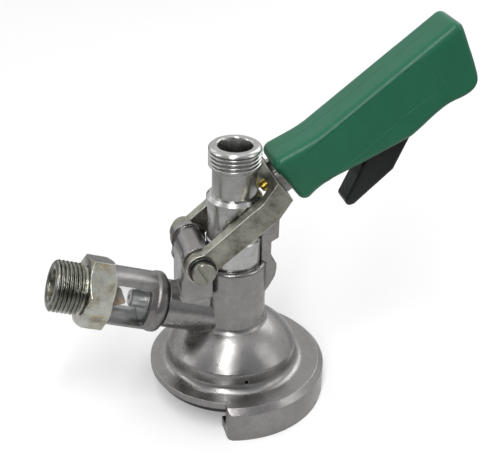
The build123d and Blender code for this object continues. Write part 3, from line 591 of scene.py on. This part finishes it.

# %% [markdown]
# ## Dull nickel on cast steel
# The fork is cast steel with a thin nickel skin that has gone olive and blotchy in use. It differs
# from the body in its hue, in larger and stronger stains, and in its edges, which are painted near
# white: partly worn through to bright metal, partly a painted highlight.


# %% Tarnished nickel plating
def tarnished(name):
    """Nickel over cast steel: olive grey with brown-grey stains; bright edges of wear and painted
    highlight.
    """
    material, tree, shader, place = start(name)
    soft, mask = edges(tree, 0.7)
    cloud = noise(tree, place, per_mm(8), 7.0, 0.68)
    stops = [(0.32, "#605f53"), (0.43, "#86857a"), (0.54, "#9e9d91"), (0.72, "#aaa99e")]
    colour = ramp(tree, cloud, stops)
    scrape = noise(tree, place, per_mm(1.1), 3.0)
    # edges painted near white: partly worn-through plating, partly a painted highlight along them
    worn_edges_and_highlight = maths(tree, "MULTIPLY", mask, remap(tree, scrape, (0.35, 0.6), (0.35, 1.0)))
    edges_worn_and_highlit = blend(tree, worn_edges_and_highlight, colour, linear("#f2f1ea"))
    spread = remap(tree, cloud, (0.36, 0.66), (0.46, 0.3))
    sand = noise(tree, place, per_mm(0.7), 3.0)
    wave = noise(tree, place, per_mm(5.0), 1.0)
    normal = bump(tree, sand, 0.04, 0.5, bump(tree, wave, 0.25, 0.4, soft))
    drive(tree, shader, Base_Color=edges_worn_and_highlit, Roughness=spread, Normal=normal)
    shader.inputs["Metallic"].default_value = 1.0
    return material


LEVER_NICKEL = tarnished("tarnished_nickel_plate")

# %% [markdown]
# ## Turned steel
# The probe, the nozzle and the screws come off a lathe. A turned face carries rings as fine as the
# feed, about 0.1 mm, which are too fine to see here, so they are drawn at 0.3 mm or more and only
# as a faint ripple. The pattern is a noise squeezed along the axis and almost constant across it.
# Seen from afar, turned steel is a bright mirror blurred along the axis.


# %% Turned stainless steel about an axis
def turned_steel(
    name, pale, dull, rough, tilt_deg=0.0, foot=(0, 0, 0), ring_mm=0.3, edge=0.25, stem=None
):
    """Bright turned metal: rings square to an axis that leans tilt_deg from upright towards -X.

    stem is (distance from the foot in mm, colour): past that distance the metal is another one.
    """
    material, tree, shader, place = start(name)
    soft, mask = edges(tree, edge)
    # the axis' foot moves to the origin, then the axis turns upright
    moved = mapped(tree, place, Location=tuple(-c * MM for c in foot))
    upright = mapped(tree, moved, Rotation=(0, math.radians(tilt_deg), 0))
    stretched = mapped(tree, upright, Scale=(per_mm(60), per_mm(60), per_mm(ring_mm)))
    rings = noise(tree, stretched, 1.0, 2.0, 0.6)
    cloud = noise(tree, place, per_mm(8), 4.0, 0.6)
    mixed = blend(tree, 0.35, cloud, rings, data_type="FLOAT")
    colour = ramp(tree, mixed, [(0.38, dull), (0.6, pale)])
    if stem:
        away = add(tree, "ShaderNodeSeparateXYZ", {0: upright}).outputs["Z"]
        past = maths(tree, "GREATER_THAN", away, stem[0] * MM)
        colour = blend(tree, past, colour, linear(stem[1]))
    # edges painted paler: partly rubbed wear, partly a painted highlight along them
    rubbed_edges_and_highlight = blend(tree, maths(tree, "MULTIPLY", mask, 0.5), colour, linear("#eeeeec"))
    spread = remap(tree, mixed, (0.35, 0.65), (rough + 0.06, rough - 0.03))
    normal = bump(tree, rings, 0.012, 0.6, soft)
    drive(tree, shader, Base_Color=rubbed_edges_and_highlight, Roughness=spread, Normal=normal)
    shader.inputs["Metallic"].default_value = 1.0
    return material


ARM_TILT = 90 - math.degrees(ARM_ANGLE)
LEVER_TILT = math.degrees(LEVER_ANGLE) - 90
BRASS_END = (46.5, "#a8a8a4")  # the bolt's brass head ends here, and its steel stem begins
PROBE = turned_steel("turned_stainless_steel", "#c0c0be", "#aaaaa7", 0.23, edge=0.15)
# the nozzle's steel is painted paler than the probe's: painted light inside the cage, which keeps
# most of the lamps' light out
NOZZLE_WITH_PAINTED_LIGHT = turned_steel("turned_steel_nozzle_painted_light", "#d6d6d4", "#bfbfbd", 0.3, ARM_TILT, ARM_FOOT)
SCREW = turned_steel("nickel_plated_screw", "#98988e", "#86867c", 0.34, ring_mm=0.9)
PLAIN = turned_steel("drawn_steel", "#a3a39f", "#858580", 0.3, ring_mm=1.5)
# the washers under the screw heads are painted near black: painted shade for the dark gap round
# each head
WASHER_PAINTED_SHADE = turned_steel("washer_painted_as_shade", "#4a4a48", "#30302f", 0.38, ring_mm=1.5)
BRASS = turned_steel(
    "turned_brass", "#c0a548", "#9a8036", 0.3, LEVER_TILT, PIVOT, ring_mm=0.6, stem=BRASS_END
)

# %% [markdown]
# ## Zinc plate on the hexagon
# The nipple is bright zinc over machined steel. Its flats mirror the room in smeared patches,
# because a milled flat is slightly hollow and scratched lengthways, and old zinc turns straw yellow
# in places.


# %% Zinc-plated steel
def zinc(name, dull, mid, pale, smooth):
    """Bright zinc: pale grey with straw stains, a wavy surface and scratches along the arm."""
    material, tree, shader, place = start(name)
    soft, mask = edges(tree, 0.4)
    turned = mapped(tree, place, Rotation=(0, -ARM_ANGLE, 0))
    lengthways = mapped(tree, turned, Scale=(per_mm(9), per_mm(1.3), per_mm(1.3)))
    scratch = noise(tree, lengthways, 1.0, 4.0, distortion=0.6)
    cloud = noise(tree, place, per_mm(6), 4.0, 0.6)
    colour = ramp(tree, cloud, [(0.34, dull), (0.45, mid), (0.6, pale)])
    stained = blend(tree, remap(tree, scratch, (0.62, 0.72), (0.0, 0.7)), colour, linear("#b08f52"))
    # edges painted nearly white: partly rubbed plating, partly a painted highlight along them
    edges_worn_and_highlit = blend(tree, mask, stained, linear("#dededa"))
    spread = remap(tree, cloud, (0.35, 0.65), (smooth + 0.1, smooth))
    normal = bump(tree, scratch, 0.06, 0.5, bump(tree, cloud, 0.2, 0.4, soft))
    drive(tree, shader, Base_Color=edges_worn_and_highlit, Roughness=spread, Normal=normal)
    shader.inputs["Metallic"].default_value = 1.0
    return material


ZINC = zinc("zinc_plated_steel", "#8a8777", "#aeac9f", "#bfc1ba", 0.1)
DULL_ZINC = zinc("dull_zinc_on_the_thread", "#56564b", "#74756a", "#8c8e84", 0.16)

# %% [markdown]
# ## Moulded plastics
# The grip is a green moulded plastic, such as polypropylene or ABS, with a low sheen. Moulding
# gives it a very faint orange-peel surface, and use gives it dull scuffs. The trigger is the same
# kind of plastic in black from a smoother mould, so it is a little glossier. Neither has a metallic
# part: the colour is under a clear skin.

# %% Moulded plastic
PLASTIC_IOR = 1.49


def moulded(name, colours, rough, peel_mm, scuff, edge_colour, edge_mm, shine):
    """Plastic with an orange-peel bump, roughness raised by scuffs, and paler edges: wear and
    painted highlight.
    """
    material, tree, shader, place = start(name)
    soft, mask = edges(tree, edge_mm)
    cloud = noise(tree, place, per_mm(25), 3.0, 0.55)
    colour = ramp(tree, cloud, [(0.35, colours[0]), (0.65, colours[1])])
    # edges painted paler: partly rubbed wear, partly a painted highlight along them
    rubbed_edges_and_highlight = blend(tree, maths(tree, "MULTIPLY", mask, 0.3), colour, linear(edge_colour))
    marks = noise(tree, place, per_mm(5), 6.0, 0.7)
    spread = remap(tree, marks, (0.45, 0.7), (rough, rough + scuff))
    peel = noise(tree, place, per_mm(peel_mm), 1.0)
    normal = bump(tree, peel, 0.03, 0.4, soft)
    drive(tree, shader, Base_Color=rubbed_edges_and_highlight, Roughness=spread, Normal=normal)
    shader.inputs["IOR"].default_value = PLASTIC_IOR
    shader.inputs["Specular IOR Level"].default_value = shine
    return material


GREEN = moulded(
    "green_moulded_plastic",
    ("#26664b", "#286c51"),
    rough=0.3,
    peel_mm=1.6,
    scuff=0.12,
    edge_colour="#55a083",
    edge_mm=0.5,
    shine=0.3,
)
BLACK = moulded(
    "black_moulded_plastic",
    ("#0d100f", "#131716"),
    rough=0.22,
    peel_mm=2.5,
    scuff=0.1,
    edge_colour="#3a4040",
    edge_mm=1.5,
    shine=0.5,
)

# %% [markdown]
# ## Rubber and the sight tube
# Seals are matte black rubber with a soft bloom. The duckbill valve is a brown food-grade rubber.
# The sight tube is thin clear plastic: light passes straight through it, slightly dimmed, so each
# of its faces is mostly open and only its gloss and a little haze show.


# %% Rubbers and clear plastic
def rubber(name, dark, pale, rough):
    """Rubber: a dull surface with a fine bloom and no metal."""
    material, tree, shader, place = start(name)
    soft = edges(tree, 0.3)[0]
    bloom = noise(tree, place, per_mm(3), 5.0, 0.65)
    grain = noise(tree, place, per_mm(0.6), 2.0)
    colour = ramp(tree, bloom, [(0.35, dark), (0.68, pale)])
    drive(tree, shader, Base_Color=colour, Normal=bump(tree, grain, 0.03, 0.5, soft))
    shader.inputs["Roughness"].default_value = rough
    shader.inputs["IOR"].default_value = 1.52
    return material


CLEAR_WALL = 0.1  # how much of the light one face of the tube stops


def clear_plastic(name):
    """A thin clear wall: mostly open to light, with a faint haze and its own gloss."""
    material, tree, shader, place = start(name)
    haze = noise(tree, place, per_mm(4), 4.0, 0.6)
    spread = remap(tree, haze, (0.4, 0.7), (0.05, 0.2))
    tint = ramp(tree, haze, [(0.3, "#dfe3e3"), (0.8, "#cdd2d2")])
    drive(tree, shader, Base_Color=tint, Roughness=spread)
    shader.inputs["IOR"].default_value = PLASTIC_IOR
    shader.inputs["Alpha"].default_value = CLEAR_WALL
    return material


SEAL = rubber("black_seal_rubber", "#15181d", "#2a2e35", 0.55)
VALVE = rubber("brown_valve_rubber", "#a27c42", "#b8935a", 0.45)
TUBE = clear_plastic("clear_sight_tube")

# %% [markdown]
# ## Dressing the solids
# Each CAD solid keeps its mesh and gets a finish in its material slot. The new pieces get finishes
# too; the record's slot named beside each of them is not read.

# %% Finishes on solids and new pieces
finishes = {
    CAST: ["body_casting"],
    CAGE: ["sight_cage"],
    LEVER_NICKEL: ["fork_lever"],
    PROBE: ["probe_tube", "check_ball"],
    NOZZLE_WITH_PAINTED_LIGHT: ["flow_nozzle"],
    SCREW: ["pivot_screw_near", "pivot_screw_far"],
    WASHER_PAINTED_SHADE: ["pivot_washer_near", "pivot_washer_far"],
    PLAIN: ["handle_frame", "latch_rod", "latch_spring", "trigger_pin", "ball_clip", "valve_clip"],
    BRASS: ["latch_bolt"],
    ZINC: ["inlet_nipple"],
    GREEN: ["grip"],
    BLACK: ["trigger"],
    SEAL: [
        "keg_seal",
        "cage_seal",
        "tube_seal_inner",
        "tube_seal_outer",
        "piston_seal_lower",
        "piston_seal_upper",
        "probe_seal",
    ],
    VALVE: ["lip_valve"],
    TUBE: ["sight_tube"],
}
dressed = set()
for finish, nodes in finishes.items():
    for node in nodes:
        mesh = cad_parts[node].data
        mesh.materials.clear()
        mesh.materials.append(finish)
        dressed.add(node)
for piece, finish, slot in (
    (probe_shaft, PROBE, "turned_steel"),
    (beer_thread, PROBE, "turned_steel"),
    (hexagon, ZINC, "zinc_plate"),
    (gas_thread, DULL_ZINC, "zinc_plate"),
    (spring, PLAIN, "spring_steel"),
    *((line, GREEN, "grip_plastic") for line in grip_lines),
):
    piece.data.materials.append(finish)
print("undressed solids:", sorted(set(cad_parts) - dressed))

# %% [markdown]
# ## The floor and the studio
# The coupler stands on a plain pale floor. Metal shows what is around it, so the studio matters as
# much as the finishes: large soft lamps give long highlights, and a darker zone behind the camera
# gives the turned parts their dark bands. The world's colour depends on the ray: the camera sees a
# pale backdrop, and mirrors see a pale room with that darker zone.

# %% Floor
# what brings the paper from a pale grey to white for the lens alone, near the coupler and far away
PAPER_LIFT = 0.19
PAPER_LIFT_FAR = 0.62
BENCH_FROM, BENCH_TO = 130 * MM, 300 * MM  # between these the paper gives way to the bench
LIFT_FROM, LIFT_TO = 200 * MM, 1500 * MM
FLOOR_REACH = 4.0  # metres from the middle to each side
FLOOR_DROP = 0.0001  # metres; keeps the floor clear of the skirt's lower face


def floor_material():
    """White paper on a grey bench: the lens sees paper, light and metal see the bench far out."""
    material, tree, shader, place = start("pale_paper")
    cloud = noise(tree, place, per_mm(300), 2.0)
    paper = ramp(tree, cloud, [(0.3, "#f2f2f2"), (0.7, "#f5f5f5")])
    far = add(tree, "ShaderNodeVectorMath", {0: place}, operation="LENGTH").outputs["Value"]
    bench = remap(tree, far, (BENCH_FROM, BENCH_TO), (0.0, 1.0))
    bench_colour = ramp(tree, bench, [(0.0, "#e6e6e6"), (1.0, "#8e8e8f")])
    lens = add(tree, "ShaderNodeLightPath").outputs["Is Camera Ray"]
    more = remap(tree, far, (LIFT_FROM, LIFT_TO), (PAPER_LIFT, PAPER_LIFT_FAR))
    drive(
        tree,
        shader,
        Base_Color=blend(tree, lens, bench_colour, paper),
        Emission_Strength=maths(tree, "MULTIPLY", lens, more),
    )
    shader.inputs["Roughness"].default_value = 0.9
    shader.inputs["Specular IOR Level"].default_value = 0.1
    shader.inputs["Emission Color"].default_value = linear("#ffffff")
    return material


sides = (-FLOOR_REACH, FLOOR_REACH)
corners = np.array([[(x, y, -FLOOR_DROP) for y in sides] for x in sides])
floor = surface("floor", corners, columns_close=False)
floor.data.materials.append(floor_material())

# %% Lamps
LAMP_DISTANCE = 0.9


def softbox(name, azimuth, elevation, width, height, power):
    """A rectangular lamp on a sphere round the target, facing it, in degrees and metres."""
    away = direction_to(math.radians(azimuth), math.radians(elevation))
    data = bpy.data.lights.new(name, "AREA")
    data.shape, data.size, data.size_y = "RECTANGLE", width, height
    data.energy = power
    lamp = bpy.data.objects.new(name, data)
    bpy.context.scene.collection.objects.link(lamp)
    lamp.location = TARGET + away * LAMP_DISTANCE
    lamp.rotation_mode = "QUATERNION"
    lamp.rotation_quaternion = away.to_track_quat("Z", "Y")


softbox("key", -27, 50, 0.12, 1.0, 5.2)
softbox("left_strip", -95, 30, 0.25, 0.7, 1.1)
softbox("left_back", -140, 35, 0.3, 0.5, 0.35)
softbox("right_strip", 62, 30, 0.25, 0.6, 0.8)
softbox("right_back", 122, 38, 0.45, 0.6, 1.7)
softbox("overhead", 20, 86, 0.7, 0.7, 0.6)

# %% World
world = bpy.data.worlds.new("studio")
bpy.context.scene.world = world
world.use_nodes = True
sky = world.node_tree
sky.nodes.clear()
seen = add(sky, "ShaderNodeLightPath")


def background(colour, strength):
    """A plain or patterned glow."""
    inputs = {"Color": colour, "Strength": strength}
    return add(sky, "ShaderNodeBackground", inputs).outputs["Background"]


def for_ray(kind, others, these):
    """One glow for rays of that kind, and another for all the others."""
    inputs = {0: seen.outputs[kind], 1: others, 2: these}
    return add(sky, "ShaderNodeMixShader", inputs).outputs[0]


DARK_LEVEL, DARK_RISE = 0.97, 0.24  # the dark zone's middle: behind the camera, a little raised
dark_from = Vector(
    (math.sin(AZIMUTH) * DARK_LEVEL, -math.cos(AZIMUTH) * DARK_LEVEL, DARK_RISE)
).normalized()
direction = add(sky, "ShaderNodeTexCoord").outputs["Generated"]
facing = add(
    sky, "ShaderNodeVectorMath", {0: direction, 1: tuple(dark_from)}, operation="DOT_PRODUCT"
).outputs["Value"]
room_stops = [(0.0, "#eaebec"), (0.35, "#c6c7c9"), (0.8, "#a6a7aa"), (0.97, "#4a4b4e")]
backdrop = background(linear("#f6f6f6"), 1.0)
room = background(ramp(sky, facing, room_stops), 1.0)
fill = background(linear("#ffffff"), 0.35)
mirrored = for_ray("Is Glossy Ray", fill, room)
through = for_ray("Is Transmission Ray", mirrored, backdrop)
add(sky, "ShaderNodeOutputWorld", {"Surface": for_ray("Is Camera Ray", through, backdrop)})
bpy.context.scene.view_settings.view_transform = "Standard"
